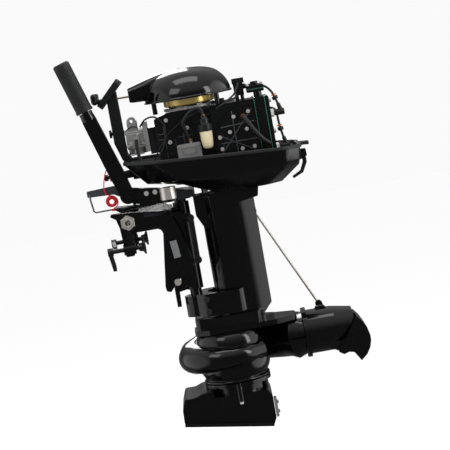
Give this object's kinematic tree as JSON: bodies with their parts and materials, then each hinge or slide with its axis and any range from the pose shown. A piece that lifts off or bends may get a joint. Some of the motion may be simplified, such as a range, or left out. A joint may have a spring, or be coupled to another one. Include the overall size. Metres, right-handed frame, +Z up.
{
  "type": "jet-drive outboard motor",
  "caption": "Tiller-steered outboard motor with its top cowl off: transom clamp, powerhead, leg, water-jet pump, nozzle and reverse gate.",
  "frame": {"origin": "on the transom seat, the underside of the clamp hook, midway between the clamp brackets", "axes": "+X aft, +Y starboard, +Z up along the drive shaft with the leg upright"},
  "size_m": [0.7074, 0.3319, 1.0554],
  "materials": {
    "gloss_black_paint": "cast, gloss black paint",
    "satin_black_paint": "cast, satin black paint",
    "black_painted_steel": "satin",
    "black_plastic": "satin",
    "black_rubber": "matte",
    "stainless_steel": "brushed",
    "machined_steel": "machined",
    "cast_aluminium": "cast",
    "anode_metal": "dull",
    "yellow_zinc_plate": "satin",
    "ceramic_white": "glazed",
    "cream_plastic": "satin",
    "green_gasket": "matte",
    "cooling_hose_rubber": "matte",
    "dark_grey_paint": "satin",
    "red_plastic": "gloss",
    "red_cord": "satin",
    "waxed_rope": "waxed"
  },
  "bodies": {
    "transom_clamp": {"clamp_bracket_port": "gloss_black_paint", "clamp_bracket_starboard": "gloss_black_paint", "tilt_tube": "stainless_steel", "tilt_pin": "stainless_steel"},
    "port_pad": {"clamp_pad_port": "black_painted_steel"},
    "starboard_pad": {"clamp_pad_starboard": "black_painted_steel"},
    "port_screw": {"clamp_screw_port": "black_painted_steel"},
    "starboard_screw": {"clamp_screw_starboard": "black_painted_steel"},
    "swivel": {"swivel_bracket": "gloss_black_paint"},
    "support_arm": {"tilt_support_arm": "black_painted_steel"},
    "rotor": {"flywheel": "yellow_zinc_plate", "crankshaft": "machined_steel", "drive_shaft": "stainless_steel", "impeller": "cast_aluminium"},
    "starter_reel": {"starter_spool": "black_plastic"},
    "pull_starter": {"starter_handle": "black_rubber", "starter_rope": "waxed_rope"},
    "tiller": {"tiller_arm": "gloss_black_paint"},
    "twist_grip": {"throttle_grip": "black_rubber"},
    "shifter": {"shift_lever": "dark_grey_paint", "shift_link": "machined_steel"},
    "gate": {"reverse_gate": "gloss_black_paint"},
    "gate_link": {"gate_rod": "stainless_steel"},
    "latch": {"cowl_latch": "black_plastic"},
    "kill_button": {"stop_button": "black_plastic"},
    "choke": {"choke_knob": "black_plastic"},
    "engine": {"steering_bracket": "gloss_black_paint", "mount_sleeves": "stainless_steel", "lower_mount_housing": "gloss_black_paint", "upper_casing": "gloss_black_paint", "bottom_cowl": "gloss_black_paint", "cowl_seal": "black_rubber", "crankcase": "satin_black_paint", "cylinder_block": "satin_black_paint", "exhaust_cover": "satin_black_paint", "cylinder_head": "satin_black_paint", "gaskets": "green_gasket", "engine_bolts": "stainless_steel", "pistons": "cast_aluminium", "spark_plugs": "ceramic_white", "plug_caps": "black_rubber", "plug_leads": "black_rubber", "ignition_unit": "black_plastic", "stator_plate": "cast_aluminium", "recoil_cover": "black_plastic", "rope_guide_post": "black_plastic", "carburetor": "cast_aluminium", "fuel_pump": "cast_aluminium", "fuel_filter": "cream_plastic", "fuel_hoses": "black_rubber", "coolant_hose": "cooling_hose_rubber", "adapter_plate": "gloss_black_paint", "volute_casing": "gloss_black_paint", "intake_housing": "satin_black_paint", "discharge_nozzle": "gloss_black_paint", "anode": "anode_metal", "stop_switch": "black_plastic", "lanyard_fittings": "red_plastic", "lanyard_cord": "red_cord", "lanyard_coil": "red_cord"}
  },
  "joints": [
    {"name": "port_pad_travel", "type": "slide", "parent": "transom_clamp", "child": "port_pad", "axis": [1, 0, 0], "range_m": [-0.0062, 0.0281]},
    {"name": "port_screw_turn", "type": "hinge", "parent": "port_pad", "child": "port_screw", "pos_m": [-0.11, -0.105, -0.041], "axis": [1, 0, 0], "range_deg": [-720, 3360]},
    {"name": "starboard_pad_travel", "type": "slide", "parent": "transom_clamp", "child": "starboard_pad", "axis": [1, 0, 0], "range_m": [-0.0062, 0.0281]},
    {"name": "starboard_screw_turn", "type": "hinge", "parent": "starboard_pad", "child": "starboard_screw", "pos_m": [-0.11, 0.105, -0.041], "axis": [1, 0, 0], "range_deg": [-720, 3360]},
    {"name": "tilt", "type": "hinge", "parent": "transom_clamp", "child": "swivel", "pos_m": [-0.05, 0, 0.03], "axis": [0, 1, 0], "range_deg": [-68, 0]},
    {"name": "support_arm_swing", "type": "hinge", "parent": "swivel", "child": "support_arm", "pos_m": [0.114, -0.07, 0.01], "axis": [0, 1, 0], "range_deg": [0, 60]},
    {"name": "steering", "type": "hinge", "parent": "swivel", "child": "engine", "pos_m": [0.092, 0, 0], "axis": [0, 0, 1], "range_deg": [-35, 35]},
    {"name": "rotor_spin", "type": "hinge", "parent": "engine", "child": "rotor", "pos_m": [0.162, 0, 0], "axis": [0, 0, 1], "continuous": true},
    {"name": "starter_pull", "type": "slide", "parent": "engine", "child": "pull_starter", "axis": [-1, 0, 0], "range_m": [0, 0.9], "stiffness_N_per_m": 15, "springref_m": -0.3, "deforming": ["starter_rope"]},
    {"name": "starter_reel_spin", "type": "hinge", "parent": "engine", "child": "starter_reel", "pos_m": [0.162, 0, 0.352], "axis": [0, 0, 1], "range_deg": [-938, 0]},
    {"name": "tiller_fold", "type": "hinge", "parent": "engine", "child": "tiller", "pos_m": [-0.039, -0.076, 0.096], "axis": [0, 1, 0], "range_deg": [-73, 0]},
    {"name": "throttle", "type": "hinge", "parent": "tiller", "child": "twist_grip", "pos_m": [-0.039, -0.076, 0.096], "axis": [-0.2924, 0, 0.9563], "range_deg": [0, 95]},
    {"name": "shift", "type": "hinge", "parent": "engine", "child": "shifter", "pos_m": [-0.048, -0.032, 0.109], "axis": [0, 1, 0], "range_deg": [-27, 0]},
    {"name": "gate_swing", "type": "hinge", "parent": "engine", "child": "gate", "pos_m": [0.456, 0.012, -0.412], "axis": [0, 1, 0], "range_deg": [0, 52.2]},
    {"name": "gate_link_pivot", "type": "hinge", "parent": "gate", "child": "gate_link", "pos_m": [0.418, 0.1, -0.303], "axis": [0, 1, 0], "range_deg": [-67.3, 0]},
    {"name": "latch_swing", "type": "hinge", "parent": "engine", "child": "latch", "pos_m": [0.44, 0, 0.12], "axis": [0, 1, 0], "range_deg": [-70, 0]},
    {"name": "kill_button_press", "type": "slide", "parent": "engine", "child": "kill_button", "axis": [1, 0, 0], "range_m": [0, 0.003], "stiffness_N_per_m": 600},
    {"name": "choke_pull", "type": "slide", "parent": "engine", "child": "choke", "axis": [-1, 0, 0], "range_m": [0, 0.025]}
  ],
  "couplings": [
    {"joint": "port_pad_travel", "follows": "port_screw_turn", "m_per_rad": 0.00047746},
    {"joint": "starboard_pad_travel", "follows": "starboard_screw_turn", "m_per_rad": 0.00047746},
    {"joint": "starter_reel_spin", "follows": "starter_pull", "rad_per_m": -18.18},
    {"joint": "gate_swing", "follows": "shift", "ratio": -1.9333},
    {"joint": "gate_link_pivot", "follows": "shift", "ratio": 2.49}
  ]
}
